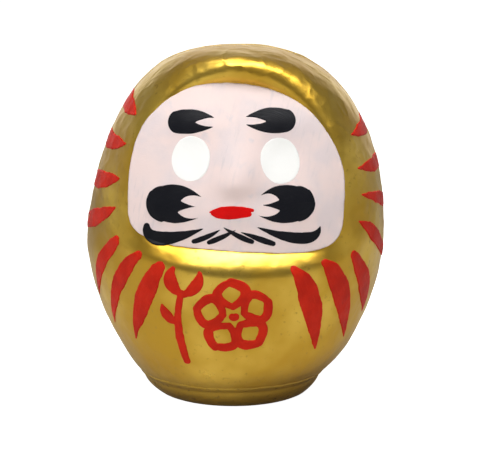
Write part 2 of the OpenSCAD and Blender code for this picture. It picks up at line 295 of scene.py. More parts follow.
SIZE_INPUTS = [(label, "float", value) for label, value in SIZES.items()]
PAPER_INPUTS = [
    ("Lump Height", "float", 0.55),
    ("Lump Size", "float", 22.0),
    ("Dent Height", "float", 0.24),
    ("Dent Size", "float", 8.5),
    ("Crease Height", "float", 0.16),
    ("Crease Size", "float", 15.0),
    ("Face Calm", "float", 0.35),
    ("Seed", "float", 3.0),
]
SKIN_INPUTS = SIZE_INPUTS + PAPER_INPUTS
SPOT = [("Angle", "float", 0.0), ("Level", "float", 0.0)]


def sized_form(value):
    return Form(*[value[label] for label in SIZES])


def bare_body_tree():
    """Angle and level in, a point of the smooth body out, in millimetres."""
    tree, value, end = new_tree("Bare body", "GeometryNodeTree", SPOT + SIZE_INPUTS, [("Position", "vector")])
    join(tree, (combine(tree, *sized_form(value).point(value["Angle"], value["Level"])), end["Position"]))
    return tree


def doll_skin_tree(bare):
    """Angle and level in; the hand-laid paper skin's point and its outward direction out."""
    tree, value, end = new_tree("Doll skin", "GeometryNodeTree", SPOT + SKIN_INPUTS,
                                [("Position", "vector"), ("Outward", "vector")])
    angle, level = value["Angle"], value["Level"]

    def body_at(a, z):
        made = node(tree, "GeometryNodeGroup", node_tree=bare)
        join(tree, (a, made.inputs["Angle"]), (z, made.inputs["Level"]),
             *[(value[label], made.inputs[label]) for label in SIZES])
        return made.outputs[0]

    # Two short steps over the body give its outward direction; at the pole that is straight up.
    top = value["Height"] - level
    turn, step = 0.004, hold(top / 4.0 * 5.0) * 0.2 + 0.002
    here = body_at(angle, level)
    round_way = vector_math(tree, "SUBTRACT", body_at(angle + turn, level), body_at(angle - turn, level))
    up_way = vector_math(tree, "SUBTRACT", here, body_at(angle, level - step))
    cross = vector_math(tree, "NORMALIZE", vector_math(tree, "CROSS_PRODUCT", round_way, up_way))
    at_pole = 1.0 - hold(top * 20.0)
    pole = combine(tree, 0.0, 0.0, at_pole)
    beside = vector_math(tree, "SCALE", cross, 1.0 - at_pole)
    outward = vector_math(tree, "NORMALIZE", vector_math(tree, "ADD", beside, pole))

    parts = node(tree, "ShaderNodeSeparateXYZ")
    join(tree, (here, parts.inputs[0]))
    away = sized_form(value).outside(Sum(tree, parts.outputs[0]), level)
    in_front = Sum(tree, parts.outputs[1]).math("LESS_THAN", 0.0)
    on_face = (1.0 - smooth((away + 3.0) / 6.0)) * in_front
    calm = 1.0 - on_face * (1.0 - value["Face Calm"])
    near_hood = bell((away - 10.0) / 16.0) * in_front * smooth((level - 75.0) / 20.0)

    def noise(size, shift, detail):
        place = vector_math(tree, "SCALE", here, 1.0 / size)
        return texture(tree, place, 1.0, detail, seed=value["Seed"] + shift) - 0.5

    lumps = noise(value["Lump Size"], 0.0, 1.0) * 2.0 * value["Lump Height"]
    dents = noise(value["Dent Size"], 7.0, 1.5) * 2.0 * value["Dent Height"]
    ridge = power(hold(1.0 - size_of(noise(value["Crease Size"], 13.0, 2.0)) * 7.0), 2.0)
    creases = ridge * value["Crease Height"] * (0.45 + 0.8 * near_hood)
    relief = (lumps + dents * (1.1 + 0.3 * near_hood) + creases) * calm
    relief = relief * smooth((level - 4.0) / 16.0)
    moved = vector_math(tree, "ADD", here, vector_math(tree, "SCALE", outward, relief))
    join(tree, (moved, end["Position"]), (outward, end["Outward"]))
    return tree


def named(tree, label):
    made = node(tree, "GeometryNodeInputNamedAttribute", data_type="FLOAT")
    made.inputs["Name"].default_value = label
    return Sum(tree, made.outputs["Attribute"])


def skin_at_points(tree, value, skin):
    """The skin group read at each point's own angle and level."""
    made = node(tree, "GeometryNodeGroup", node_tree=skin)
    join(tree, (named(tree, "angle"), made.inputs["Angle"]), (named(tree, "level"), made.inputs["Level"]),
         *[(value[label], made.inputs[label]) for label, _, _ in SKIN_INPUTS])
    return made.outputs["Position"], made.outputs["Outward"]


def placed(tree, geometry, place):
    """The geometry with its points set to places given in millimetres."""
    made = node(tree, "GeometryNodeSetPosition")
    join(tree, (geometry, made.inputs["Geometry"]),
         (vector_math(tree, "SCALE", place, MM), made.inputs["Position"]))
    return made.outputs[0]


def dressed(tree, geometry, value, end):
    """Realized, smooth and in its material."""
    real = node(tree, "GeometryNodeRealizeInstances")
    soft = node(tree, "GeometryNodeSetShadeSmooth")
    finish = node(tree, "GeometryNodeSetMaterial")
    join(tree, (geometry, soft.inputs["Geometry"]), (soft.outputs[0], real.inputs[0]),
         (real.outputs[0], finish.inputs["Geometry"]), (value["Material"], finish.inputs["Material"]),
         (finish.outputs[0], end["Geometry"]))


def moulded_shell_tree(skin):
    """Turns a flat lattice of angles and levels into a half shell of laid paper."""
    tree, value, end = new_tree(
        "Moulded shell", "GeometryNodeTree",
        [("Geometry", "geometry", None)] + SKIN_INPUTS + [("Material", "material", None)],
        [("Geometry", "geometry")])
    position, outward = skin_at_points(tree, value, skin)
    lifted = vector_math(tree, "ADD", position, vector_math(tree, "SCALE", outward, named(tree, "lift")))
    dressed(tree, placed(tree, value["Geometry"], lifted), value, end)
    return tree


def laid_film_tree(skin):
    """Lays a flat cut-out on the body as a film with bristle streaks and closes it underneath."""
    tree, value, end = new_tree(
        "Laid film", "GeometryNodeTree",
        [("Geometry", "geometry", None)] + SKIN_INPUTS
        + [("Lift", "float", 0.03), ("Film Height", "float", 1.0), ("Streak Height", "float", 0.3),
           ("Streak Breadth", "float", 0.5), ("Sink", "float", 0.08), ("Material", "material", None)],
        [("Geometry", "geometry")])
    position, _ = skin_at_points(tree, value, skin)
    sheet = placed(tree, value["Geometry"], position)
    normal = node(tree, "GeometryNodeInputNormal")
    film, lift = named(tree, "film"), value["Lift"]
    lane = combine(tree, named(tree, "along") * 0.05, named(tree, "across") / value["Streak Breadth"],
                   value["Seed"])
    streak = (texture(tree, lane, 1.0, 2.0) - 0.5) * value["Streak Height"]
    over = lift + film * (value["Film Height"] + streak * 2.0)
    under = lift - value["Sink"] * film.math("GREATER_THAN", 0.0001)
    faces = []
    for height in (over, under):
        moved = node(tree, "GeometryNodeSetPosition")
        offset = vector_math(tree, "SCALE", normal.outputs[0], height * MM)
        join(tree, (sheet, moved.inputs["Geometry"]), (offset, moved.inputs["Offset"]))
        faces.append(moved.outputs[0])
    flip = node(tree, "GeometryNodeFlipFaces")
    both = node(tree, "GeometryNodeJoinGeometry")
    weld = node(tree, "GeometryNodeMergeByDistance")
    weld.inputs["Distance"].default_value = 0.003 * MM
    join(tree, (faces[1], flip.inputs["Mesh"]), (flip.outputs[0], both.inputs[0]),
         (faces[0], both.inputs[0]), (both.outputs[0], weld.inputs["Geometry"]))
    dressed(tree, weld.outputs[0], value, end)
    return tree


SKIN = doll_skin_tree(bare_body_tree())
SHELL_TREE = moulded_shell_tree(SKIN)
FILM_TREE = laid_film_tree(SKIN)


def linked(name, data):
    made = bpy.data.objects.new(name, data)
    bpy.context.scene.collection.objects.link(made)
    return made


def shape_with(tree, name, verts, faces, values, settings):
    """Runs a node tree over a flat mesh that carries named values, and keeps the plain result."""
    mesh = bpy.data.meshes.new(name + "_flat")
    mesh.from_pydata(verts, [], faces)
    for label, numbers in values.items():
        layer = mesh.attributes.new(label, "FLOAT", "POINT")
        layer.data.foreach_set("value", np.asarray(numbers, dtype=np.float32))
    piece = linked(name, mesh)
    modifier = piece.modifiers.new("shape", "NODES")
    modifier.node_group = tree
    for item in tree.interface.items_tree:
        if item.item_type == "SOCKET" and item.in_out == "INPUT" and item.name in settings:
            modifier[item.identifier] = settings[item.name]
    piece.update_tag()
    graph = bpy.context.evaluated_depsgraph_get()
    graph.update()
    plain = bpy.data.meshes.new_from_object(piece.evaluated_get(graph), depsgraph=graph)
    piece.modifiers.remove(modifier)
    piece.data = plain
    plain.name = name
    plain.polygons.foreach_set("material_index", [0] * len(plain.polygons))
    plain.materials.clear()
    plain.materials.append(settings["Material"])
    bpy.data.meshes.remove(mesh)
    return piece


def settle(piece, name):
    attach(piece, BODY)
    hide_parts(name)


# ---- hand unevenness for outlines -------------------------------------------

def lattice(seed, shape):
    return np.random.default_rng(seed).uniform(-1.0, 1.0, shape)


def waver(t, seed):
    """Smooth one-way unevenness between -1 and 1."""
    table = lattice(seed, 256)
    i = np.floor(t).astype(int)
    f = t - i
    f = f * f * (3.0 - 2.0 * f)
    return table[i % 256] * (1.0 - f) + table[(i + 1) % 256] * f


def waver_2(s, t, seed):
    """Smooth two-way unevenness between -1 and 1."""
    table = lattice(seed, (64, 64))
    i, j = np.floor(s).astype(int), np.floor(t).astype(int)
    f, g = s - i, t - j
    f, g = f * f * (3.0 - 2.0 * f), g * g * (3.0 - 2.0 * g)
    low = table[i % 64, j % 64] * (1 - f) + table[(i + 1) % 64, j % 64] * f
    high = table[i % 64, (j + 1) % 64] * (1 - f) + table[(i + 1) % 64, (j + 1) % 64] * f
    return low * (1 - g) + high * g


# ---- brushwork ----------------------------------------------------------------

class Stroke:
    """One pull of the brush: start, bend, end, and half breadths at start, middle and end."""

    def __init__(self, start, bend, end, breadths, ragged=1.0, dry=0.0, seed=1):
        t = np.linspace(0.0, 1.0, 160)
        p0, p1, p2 = np.array(start), np.array(bend), np.array(end)
        a, b, c = (1 - t) ** 2, 2 * t * (1 - t), t ** 2
        self.spine = a[:, None] * p0 + b[:, None] * p1 + c[:, None] * p2
        w0, w1, w2 = breadths
        self.breadth = np.maximum(
            0.05, w0 * (1 - t) * (1 - 2 * t) + 4 * w1 * t * (1 - t) + w2 * t * (2 * t - 1))
        way = np.gradient(self.spine, axis=0)
        length = np.linalg.norm(way, axis=1)
        self.way = way / length[:, None]
        self.run = np.concatenate([[0.0], np.cumsum(np.linalg.norm(np.diff(self.spine, axis=0), axis=1))])
        self.ragged, self.dry, self.seed = ragged, dry, seed

    def box(self):
        reach = self.breadth.max() + 1.5
        return self.spine.min(axis=0) - reach, self.spine.max(axis=0) + reach

    def field(self, s, z):
        """Depth inside the stroke's edge, with the place along and across it."""
        inside = np.full(s.shape, -9.0)
        along, across = np.zeros(s.shape), np.zeros(s.shape)
        low, high = self.box()
        near = np.nonzero((s > low[0]) & (s < high[0]) & (z > low[1]) & (z < high[1]))[0]
        for part in np.array_split(near, max(1, len(near) // 20000)):
            if len(part) == 0:
                continue
            d = np.stack([s[part], z[part]], axis=1)[:, None, :] - self.spine[None]
            apart = np.linalg.norm(d, axis=2)
            k = apart.argmin(axis=1)
            rows = np.arange(len(part))
            gap, way = apart[rows, k], self.way[k]
            off = d[rows, k]
            side = np.sign(way[:, 0] * off[:, 1] - way[:, 1] * off[:, 0])
            u = self.run[k] + (way * off).sum(axis=1)
            v = gap * side
            total = self.run[-1]
            edge = (0.26 * waver(u / 6.5 + 40.0 + side * 9.3, self.seed)
                    + 0.13 * waver(u / 1.7 + 80.0 + side * 5.1, self.seed + 1)
                    + 0.30 * np.maximum(0.0, waver(u / 3.1 + 60.0 - side * 7.7, self.seed + 2) - 0.45))
            w = self.breadth[k] + self.ragged * edge * np.minimum(1.0, self.breadth[k] / 1.5)
            f = w - gap
            if self.dry > 0.0:
                end = smooth((u - total * (1.0 - self.dry)) / (total * self.dry))
                hair = waver_2(v * 1.7 + 31.0, u * 0.10 + 7.0, self.seed + 3)
                f = np.minimum(f, w * (1.25 - end * (1.15 - 0.85 * hair)))
            inside[part], along[part], across[part] = f, u, v
        return inside, along, across


class Patch:
    """A filled shape given by a rule for the depth inside its edge."""

    def __init__(self, low, high, rule, grain=(1.0, 0.2)):
        self.low, self.high, self.rule, self.grain = np.array(low), np.array(high), rule, grain

    def box(self):
        return self.low, self.high

    def field(self, s, z):
        c, d = self.grain
        return self.rule(s, z), s * c + z * d, z * c - s * d


def whole_field(shapes, s, z):
    """The union of several shapes, keeping each one's own brush direction."""
    inside, along, across = shapes[0].field(s, z)
    for shape in shapes[1:]:
        f, u, v = shape.field(s, z)
        take = f > inside
        inside = np.where(take, f, inside)
        along, across = np.where(take, u, along), np.where(take, v, across)
    return inside, along, across


def cut_out(shapes, pitch):
    """Cuts the shapes from a fine lattice; returns points, faces and which points are on the edge."""
    boxes = [shape.box() for shape in shapes]
    low = np.min([b[0] for b in boxes], axis=0) - pitch
    high = np.max([b[1] for b in boxes], axis=0) + pitch
    s = np.arange(low[0], high[0] + pitch, pitch)
    z = np.arange(low[1], high[1] + pitch, pitch)
    grid_s, grid_z = np.meshgrid(s, z, indexing="ij")
    f = whole_field(shapes, grid_s.ravel(), grid_z.ravel())[0].reshape(grid_s.shape)
    keep = f > 0.0
    number = np.full(f.shape, -1)
    number[keep] = np.arange(keep.sum())
    points = [np.stack([grid_s[keep], grid_z[keep]], axis=1)]
    count = int(keep.sum())

    def crossings(a_slice, b_slice):
        nonlocal count
        fa, fb = f[a_slice], f[b_slice]
        change = (fa > 0) != (fb > 0)
        t = np.clip(fa / np.where(change, fa - fb, 1.0), 0.1, 0.9)
        ids = np.full(fa.shape, -1)
        ids[change] = count + np.arange(change.sum())
        count += int(change.sum())
        ps = grid_s[a_slice] + (grid_s[b_slice] - grid_s[a_slice]) * t
        pz = grid_z[a_slice] + (grid_z[b_slice] - grid_z[a_slice]) * t
        points.append(np.stack([ps[change], pz[change]], axis=1))
        return ids

    right = crossings(np.s_[:-1, :], np.s_[1:, :])
    up = crossings(np.s_[:, :-1], np.s_[:, 1:])
    corners = [np.s_[:-1, :-1], np.s_[1:, :-1], np.s_[1:, 1:], np.s_[:-1, 1:]]
    full = keep[corners[0]] & keep[corners[1]] & keep[corners[2]] & keep[corners[3]]
    faces = np.stack([number[c][full] for c in corners], axis=1).tolist()
    some = (keep[corners[0]] | keep[corners[1]] | keep[corners[2]] | keep[corners[3]]) & ~full
    for i, j in zip(*np.nonzero(some)):
        ring = ((number[i, j], right[i, j]), (number[i + 1, j], up[i + 1, j]),
                (number[i + 1, j + 1], right[i, j + 1]), (number[i, j + 1], up[i, j]))
        face = [int(n) for pair in ring for n in pair if n >= 0]
        if len(face) > 2:
            faces.append(face)
    points = np.concatenate(points)
    on_edge = np.arange(len(points)) >= keep.sum()
    return points, faces, on_edge


def angle_seen(s, z, turn):
    """The angle round the body of the spot seen at s across and z up, from turn degrees off the front."""
    if turn == 0:
        share = (FORM.lean(z) - s) / FORM.half_width(z)
        return np.arccos(np.clip(share, -1.0, 1.0))
    phi = math.radians(turn)
    middle = math.pi / 2 + phi
    low, high = np.full(s.shape, middle - 1.45), np.full(s.shape, middle + 1.45)
    for _ in range(34):
        mid = 0.5 * (low + high)
        x, y, _ = FORM.point(mid, z)
        short = x * math.cos(phi) + y * math.sin(phi) < s
        low, high = np.where(short, mid, low), np.where(short, high, mid)
    return 0.5 * (low + high)


def film_height(inside, along, across, full, edge, seed):
    """Paint stands full in the middle, rounds off at its edge and heaps a little beside it."""
    part = np.clip(inside / edge, 0.0, 1.0)
    body = np.sqrt(1.0 - (1.0 - part) ** 2)
    heap = 0.22 * np.exp(-((inside - 1.3 * edge) / (0.8 * edge)) ** 2)
    pull = 0.16 * waver_2(along / 7.0 + 20.0, across / 2.2 + 20.0, seed)
    return full * body * (1.0 + heap + pull)

FILM_VALUES = ("angle", "level", "film", "along", "across")


def paint(name, slot, shapes, turn, finish, pitch=0.4, full=0.2, edge=0.45,
          lift=0.03, streak=0.35, streak_w=0.5, sink=0.08, seed=5):
    """A painted mark: cut out flat, seen from one side, and laid on the body as a film."""
    points, faces, on_edge = cut_out(shapes, pitch)
    s, z = points.T
    inside, along, across = whole_field(shapes, s, z)
    film = film_height(np.maximum(inside, 0.02), along, across, full, edge, seed)
    film = np.where(on_edge, 0.0, film)
    verts = np.stack([s, z, s * 0.0], axis=1) * MM
    values = dict(zip(FILM_VALUES, (angle_seen(s, z, turn), z, film, along, across)))
    settings = {"Lift": lift, "Streak Height": streak, "Streak Breadth": streak_w, "Sink": sink,
                "Material": finish}
    settle(shape_with(FILM_TREE, name, verts.tolist(), faces, values, settings), name)


# ---- finishes -----------------------------------------------------------------

def blend(tree, share, first, second):
    """Mixes two colours, given as sockets or plain colours."""
    made = node(tree, "ShaderNodeMix", data_type="RGBA")
    join(tree, (share, made.inputs[0]), (first, made.inputs[6]), (second, made.inputs[7]))
    return made.outputs[2]


def patches_group():
    """Soft patches of a second and third tone over a ground colour."""
    tree, value, end = new_tree(
        "Uneven tone", "ShaderNodeTree",
        [("Place", "vector", None), ("Ground", "colour", (0.5, 0.5, 0.5, 1)),
         ("Cloud", "colour", (0.4, 0.4, 0.4, 1)), ("Fleck", "colour", (0.3, 0.3, 0.3, 1)),
         ("Cloud Scale", "float", 40.0), ("Cloud Share", "float", 0.5),
         ("Fleck Scale", "float", 400.0), ("Fleck Share", "float", 0.2)],
        [("Tone", "colour"), ("Cloud Mask", "float"), ("Fleck Mask", "float")])
    cloud = texture(tree, value["Place"], value["Cloud Scale"], 3.0)
    fleck = texture(tree, value["Place"], value["Fleck Scale"], 2.0)
    cloud_mask = smooth((cloud - 0.5) * 3.2 + value["Cloud Share"])
    fleck_mask = smooth((fleck - 0.62) * 6.0 + value["Fleck Share"])
    tone = blend(tree, cloud_mask, value["Ground"], value["Cloud"])
    tone = blend(tree, fleck_mask, tone, value["Fleck"])
    join(tree, (tone, end["Tone"]), (cloud_mask, end["Cloud Mask"]), (fleck_mask, end["Fleck Mask"]))
    return tree


def grain_group():
    """Height of a hand-laid surface: pulp grain with long fibres over a soft swell."""
    tree, value, end = new_tree(
        "Pulp grain", "ShaderNodeTree",
        [("Place", "vector", None), ("Grain Scale", "float", 900.0), ("Grain", "float", 0.3),
         ("Fibre Scale", "float", 160.0), ("Fibre", "float", 0.5),
         ("Swell Scale", "float", 200.0), ("Swell", "float", 1.0)],
        [("Height", "float")])
    grain = texture(tree, value["Place"], value["Grain Scale"], 3.0)
    fibre = texture(tree, value["Place"], value["Fibre Scale"], 1.0, warp=1.6)
    swell = texture(tree, value["Place"], value["Swell Scale"], 1.0)
    ridge = power(hold(1.0 - size_of(fibre - 0.5) * 9.0), 2.0)
    height = grain * value["Grain"] + ridge * value["Fibre"] + swell * value["Swell"]
    join(tree, (height, end["Height"]))
    return tree


def streak_group():
    """Lines left by brush hairs, running along each stroke."""
    tree, value, end = new_tree(
        "Brush hairs", "ShaderNodeTree",
        [("Hair Breadth", "float", 0.4), ("Stretch", "float", 18.0), ("Contrast", "float", 3.0)],
        [("Height", "float"), ("Thin", "float")])
    along, across = (Sum(tree, node(tree, "ShaderNodeAttribute", attribute_name=n).outputs["Fac"])
                     for n in ("along", "across"))
    hair = value["Hair Breadth"]
    lane = combine(tree, along / (hair * value["Stretch"]), across / hair, 0.0)
    height = texture(tree, lane, 1.0, 2.0)
    thin = hold((0.45 - height) * value["Contrast"])
    join(tree, (height, end["Height"]), (thin, end["Thin"]))
    return tree


TONE, GRAIN, HAIRS = patches_group(), grain_group(), streak_group()


def use(tree, group, place=None, **values):
    """Puts a shared group into a material, sets its inputs and returns its outputs by name."""
    made = node(tree, "ShaderNodeGroup", node_tree=group)
    if place is not None:
        join(tree, (place, made.inputs["Place"]))
    for key, value in values.items():
        made.inputs[key.replace("_", " ")].default_value = value
    return {s.name: Sum(tree, s) for s in made.outputs}


def solid(colour):
    return (*colour, 1.0)


def uneven(tree, place, colours, clouds, flecks):
    """Ground, cloud and fleck colours, with the scale and share of the clouds and of the flecks."""
    ground, cloud, fleck = map(solid, colours)
    return use(tree, TONE, place, Ground=ground, Cloud=cloud, Fleck=fleck, Cloud_Scale=clouds[0],
               Cloud_Share=clouds[1], Fleck_Scale=flecks[0], Fleck_Share=flecks[1])


def pulp(tree, place, grain, fibre, swell):
    """The paper's height from the scale and share of its grain, its fibres and its swell."""
    return use(tree, GRAIN, place, Grain_Scale=grain[0], Grain=grain[1], Fibre_Scale=fibre[0],
               Fibre=fibre[1], Swell_Scale=swell[0], Swell=swell[1])["Height"]


def finish_of(name):
    """A fresh material: its tree, its shader's inputs and the place on the piece."""
    made = bpy.data.materials.new(name)
    made.use_nodes = True
    tree = made.node_tree
    place = node(tree, "ShaderNodeTexCoord").outputs["Object"]
    return made, tree, tree.nodes["Principled BSDF"].inputs, place


def bump(tree, shader, height, strength, depth):
    made = node(tree, "ShaderNodeBump")
    join(tree, (strength, made.inputs["Strength"]), (depth, made.inputs["Distance"]),
         (height, made.inputs["Height"]), (made.outputs[0], shader["Normal"]))


def gilding(name, colours, rough, relief, cloud_share=0.45):
    """Gold lacquer on paper: brighter and duller clouds, dark specks, fine pulp grain."""
    made, tree, shader, place = finish_of(name)
    tone = uneven(tree, place, colours, (34.0, cloud_share), (420.0, 0.08))
    fine = texture(tree, place, 120.0, 3.0) - 0.5
    roughness = rough + tone["Cloud Mask"] * 0.07 + tone["Fleck Mask"] * 0.06 + fine * 0.12
    join(tree, (tone["Tone"], shader["Base Color"]), (roughness, shader["Roughness"]),
         (1.0, shader["Metallic"]))
    height = pulp(tree, place, (1500.0, 0.12), (150.0, 0.06 * relief), (190.0, 0.8 * relief))
    bump(tree, shader, height, 0.22, 0.0006)
    return made


def brushed_paint(name, ground, cloud, thin, rough, thin_share, spec):
    """Thick brushed paint: streaked along the stroke, paler where the hairs left it thin."""
    made, tree, shader, place = finish_of(name)
    tone = uneven(tree, place, (ground, cloud, cloud), (110.0, 0.4), (700.0, 0.0))
    hairs = use(tree, HAIRS, Hair_Breadth=0.45, Stretch=16.0, Contrast=3.0)
    share = hairs["Thin"] * thin_share
    fine = texture(tree, place, 260.0, 2.0) - 0.5
    join(tree, (blend(tree, share, tone["Tone"], solid(thin)), shader["Base Color"]),
         (rough + fine * 0.2 + share * 0.08, shader["Roughness"]), (spec, shader["Specular IOR Level"]))
    paper = pulp(tree, place, (1300.0, 0.2), (300.0, 0.05), (300.0, 0.5))
    bump(tree, shader, hairs["Height"] * 0.9 + paper, 0.4, 0.0004)
    return made


def chalk_paint(name, ground, cloud, smudged, share, rough=0.62):
    """Matt chalk-bound paint, brushed thin, with faint grey strokes where it is thinnest."""
    made, tree, shader, place = finish_of(name)
    tone = uneven(tree, place, (ground, cloud, cloud), (75.0, share * 0.5), (190.0, 0.0))
    hairs = use(tree, HAIRS, Hair_Breadth=1.5, Stretch=7.0, Contrast=2.5)
    smudge = hairs["Thin"] * smooth((texture(tree, place, 38.0, 2.0) - 0.42) * 4.0) * share
    fine = texture(tree, place, 300.0, 3.0) - 0.5
    join(tree, (blend(tree, smudge, tone["Tone"], solid(smudged)), shader["Base Color"]),
         (rough + fine * 0.2, shader["Roughness"]))
    bump(tree, shader, pulp(tree, place, (1200.0, 0.4), (240.0, 0.12), (260.0, 0.6)), 0.25, 0.0004)
    return made


def dull_stuff(name, colours, rough, grain_scale, depth):
    """Bare clay, glue or plain paper."""
    made, tree, shader, place = finish_of(name)
    tone = uneven(tree, place, colours, (90.0, 0.4), (500.0, 0.25))
    fine = texture(tree, place, 400.0, 3.0) - 0.5
    join(tree, (tone["Tone"], shader["Base Color"]), (rough + fine * 0.2, shader["Roughness"]))
    bump(tree, shader, pulp(tree, place, (grain_scale, 0.7), (260.0, 0.3), (180.0, 0.6)), 0.5, depth)
    return made


GOLD = gilding("gilded paper", ((0.76, 0.51, 0.085), (0.58, 0.345, 0.038), (0.52, 0.32, 0.05)),
               0.29, 1.0, cloud_share=0.6)
GOLD_STRIP = gilding("gilded strip", ((0.73, 0.485, 0.08), (0.62, 0.38, 0.050), (0.54, 0.34, 0.06)),
                     0.33, 1.2)
GOLD_BAND = gilding("gilded band", ((0.56, 0.36, 0.06), (0.42, 0.26, 0.045), (0.24, 0.15, 0.04)),
                    0.34, 1.3, cloud_share=0.6)
FACE = chalk_paint("face paint", (0.86, 0.70, 0.675), (0.77, 0.66, 0.665), (0.52, 0.49, 0.52), 0.8)
EYE = chalk_paint("eye white", (0.97, 0.97, 0.955), (0.95, 0.95, 0.93), (0.93, 0.93, 0.91), 0.2, rough=0.5)
BLACK = brushed_paint("black paint", (0.004, 0.0045, 0.008), (0.006, 0.0065, 0.010),
                      (0.012, 0.013, 0.017), 0.45, thin_share=0.6, spec=0.15)
RED = brushed_paint("red paint", (0.64, 0.021, 0.006), (0.52, 0.014, 0.004), (0.72, 0.045, 0.010),
                    0.46, thin_share=0.7, spec=0.1)
LIP = brushed_paint("lip paint", (0.68, 0.001, 0.0008), (0.60, 0.001, 0.0008), (0.76, 0.02, 0.01),
                    0.38, thin_share=0.4, spec=0.15)
CLAY = dull_stuff("low-fired clay", ((0.47, 0.33, 0.23), (0.38, 0.26, 0.18), (0.60, 0.46, 0.34)),
                  0.85, 700.0, 0.0006)
GLUE = dull_stuff("hide glue", ((0.50, 0.33, 0.13), (0.40, 0.24, 0.08), (0.60, 0.45, 0.22)),
                  0.35, 500.0, 0.0004)
KRAFT = dull_stuff("plain paper", ((0.55, 0.44, 0.29), (0.48, 0.37, 0.24), (0.38, 0.28, 0.17)),
                   0.8, 1400.0, 0.0003)


# ---- shell, strip, band and weight ---------------------------------------------

RIM, WIDE, TOP = SIZES["Rim Level"], SIZES["Widest Level"], SIZES["Height"]
BELOW_TOP = 159.9999  # the body has no breadth at its very top
STRIP_START, STRIP_HALF, STRIP_THICK, STRIP_TAPER = 13.0, 4.4, 0.16, 1.1
BAND_FOOT, BAND_TOP, BAND_THICK, BAND_UNDER = 0.75, 11.3, 0.42, -0.5


def half_shell(name, first_angle, steps_round, coarse=5, steps_up=260):
    """One moulded half: a fine outer skin, a coarser inner one, closed at the rim and the joint."""
    low_steps = steps_up * 7 // 26

    def level(i):
        if i <= low_steps:
            return RIM + (WIDE - RIM) * i / low_steps
        return WIDE + (TOP - WIDE) * math.sin(0.5 * math.pi * (i - low_steps) / (steps_up - low_steps))

    angle, height, lift, faces = [], [], [], []

    def skin(stride, thickness):
        """Adds one skin and returns a lookup from lattice place to vertex number."""
        base, row = len(angle), steps_round // stride + 1
        for i in range(0, steps_up, stride):
            for j in range(0, steps_round + 1, stride):
                angle.append(first_angle + math.pi * j / steps_round)
                height.append(level(i))
                lift.append(thickness)
        angle.append(first_angle + math.pi / 2)
        height.append(TOP)
        lift.append(thickness)
        pole = len(angle) - 1
        return lambda i, j: pole if i >= steps_up else base + (i // stride) * row + j // stride

    outer, inner = skin(1, 0.0), skin(coarse, -WALL)
    for at, stride, turn in ((outer, 1, 1), (inner, coarse, -1)):
        for i in range(0, steps_up, stride):
            for j in range(0, steps_round, stride):
                ring = [at(i, j), at(i, j + stride), at(i + stride, j + stride), at(i + stride, j)]
                faces.append(list(dict.fromkeys(ring))[::turn])
    rise = list(range(coarse + 1))
    for j in range(0, steps_round, coarse):
        faces.append([outer(0, j + k) for k in rise[::-1]] + [inner(0, j), inner(0, j + coarse)])
    for i in range(0, steps_up, coarse):
        faces.append([outer(i + k, steps_round) for k in rise[::-1]]
                     + [inner(i, steps_round), inner(i + coarse, steps_round)])
        faces.append([outer(i + k, 0) for k in rise] + [inner(i + coarse, 0), inner(i, 0)])
    verts = [(a, h, 0.0) for a, h in zip(angle, height)]
    values = {"angle": angle, "level": height, "lift": lift}
    settle(shape_with(SHELL_TREE, name, verts, faces, values, {"Material": GOLD}), name)


def joint_path():
    """The body's outline over the joint, from the left foot over the crown to the right foot."""
    turn = np.linspace(0.0, 1.0, 500)
    low = STRIP_START + (WIDE - STRIP_START) * turn
    high = WIDE + (TOP - WIDE) * np.sin(0.5 * math.pi * turn[1:])
    z = np.concatenate([low, high])
    w = FORM.half_width(z)
    x = np.concatenate([FORM.lean(z) - w, (FORM.lean(z) + w)[-2::-1]])
    z = np.concatenate([z, z[-2::-1]])
    run = np.concatenate([[0.0], np.cumsum(np.hypot(np.diff(x), np.diff(z)))])
    return x, z, run


def over_the_joint(t, y):
    """Angle and level of a spot t along the joint path and y behind it."""
    px, pz, run = joint_path()
    x0, z0 = np.interp(t, run, px), np.interp(t, run, pz)
    wx = np.interp(t + 0.8, run, px) - np.interp(t - 0.8, run, px)
    wz = np.interp(t + 0.8, run, pz) - np.interp(t - 0.8, run, pz)
    length = np.hypot(wx, wz)
    nx, nz = -wz / length, wx / length

    def spot(down):
        """Sideways place over the half breadth, the level and the depth, below the path."""
        x, z = x0 + nx * down, np.minimum(z0 + nz * down, BELOW_TOP)
        depth = np.where(y < 0, FORM.half_front(z), FORM.half_back(z))
        return (x - FORM.lean(z)) / FORM.half_width(z), z, depth

    low, high = np.full(t.shape, -8.0), np.full(t.shape, 0.0)
    for _ in range(30):
        mid = 0.5 * (low + high)
        across, _, depth = spot(mid)
        out = across ** 2 + (y / depth) ** 2 > 1.0
        low, high = np.where(out, low, mid), np.where(out, mid, high)
    across, z, depth = spot(low)
    return np.arctan2(-y / depth, -across), z


def seam_strip():
    """The soft paper strip that hides the joint between the halves."""
    total = joint_path()[2][-1]

    def rule(t, y):
        torn = 0.35 * waver(t / 5.0 + 30.0, 71) + 0.18 * waver(t / 1.3 + 90.0, 72) * np.sign(y)
        return np.minimum(STRIP_HALF + torn - np.abs(y), np.minimum(t, total - t) - 0.5)

    shape = Patch((0.0, -5.2), (total, 5.2), rule, grain=(1.0, 0.0))
    points, faces, on_edge = cut_out([shape], 0.55)
    inside, along, across = shape.field(*points.T)
    film = np.where(on_edge, 0.0, STRIP_THICK * smooth(np.maximum(inside, 0.05) / STRIP_TAPER))
    values = dict(zip(FILM_VALUES, (*over_the_joint(*points.T), film, along, across)))
    verts = np.concatenate([points, points[:, :1] * 0.0], axis=1) * MM
    settings = {"Lift": 0.02, "Streak Height": 0.3, "Streak Breadth": 2.5, "Sink": 0.12,
                "Material": GOLD_STRIP}
    piece = shape_with(FILM_TREE, "seam_strip", verts.tolist(), faces, values, settings)
    settle(piece, "seam_strip")


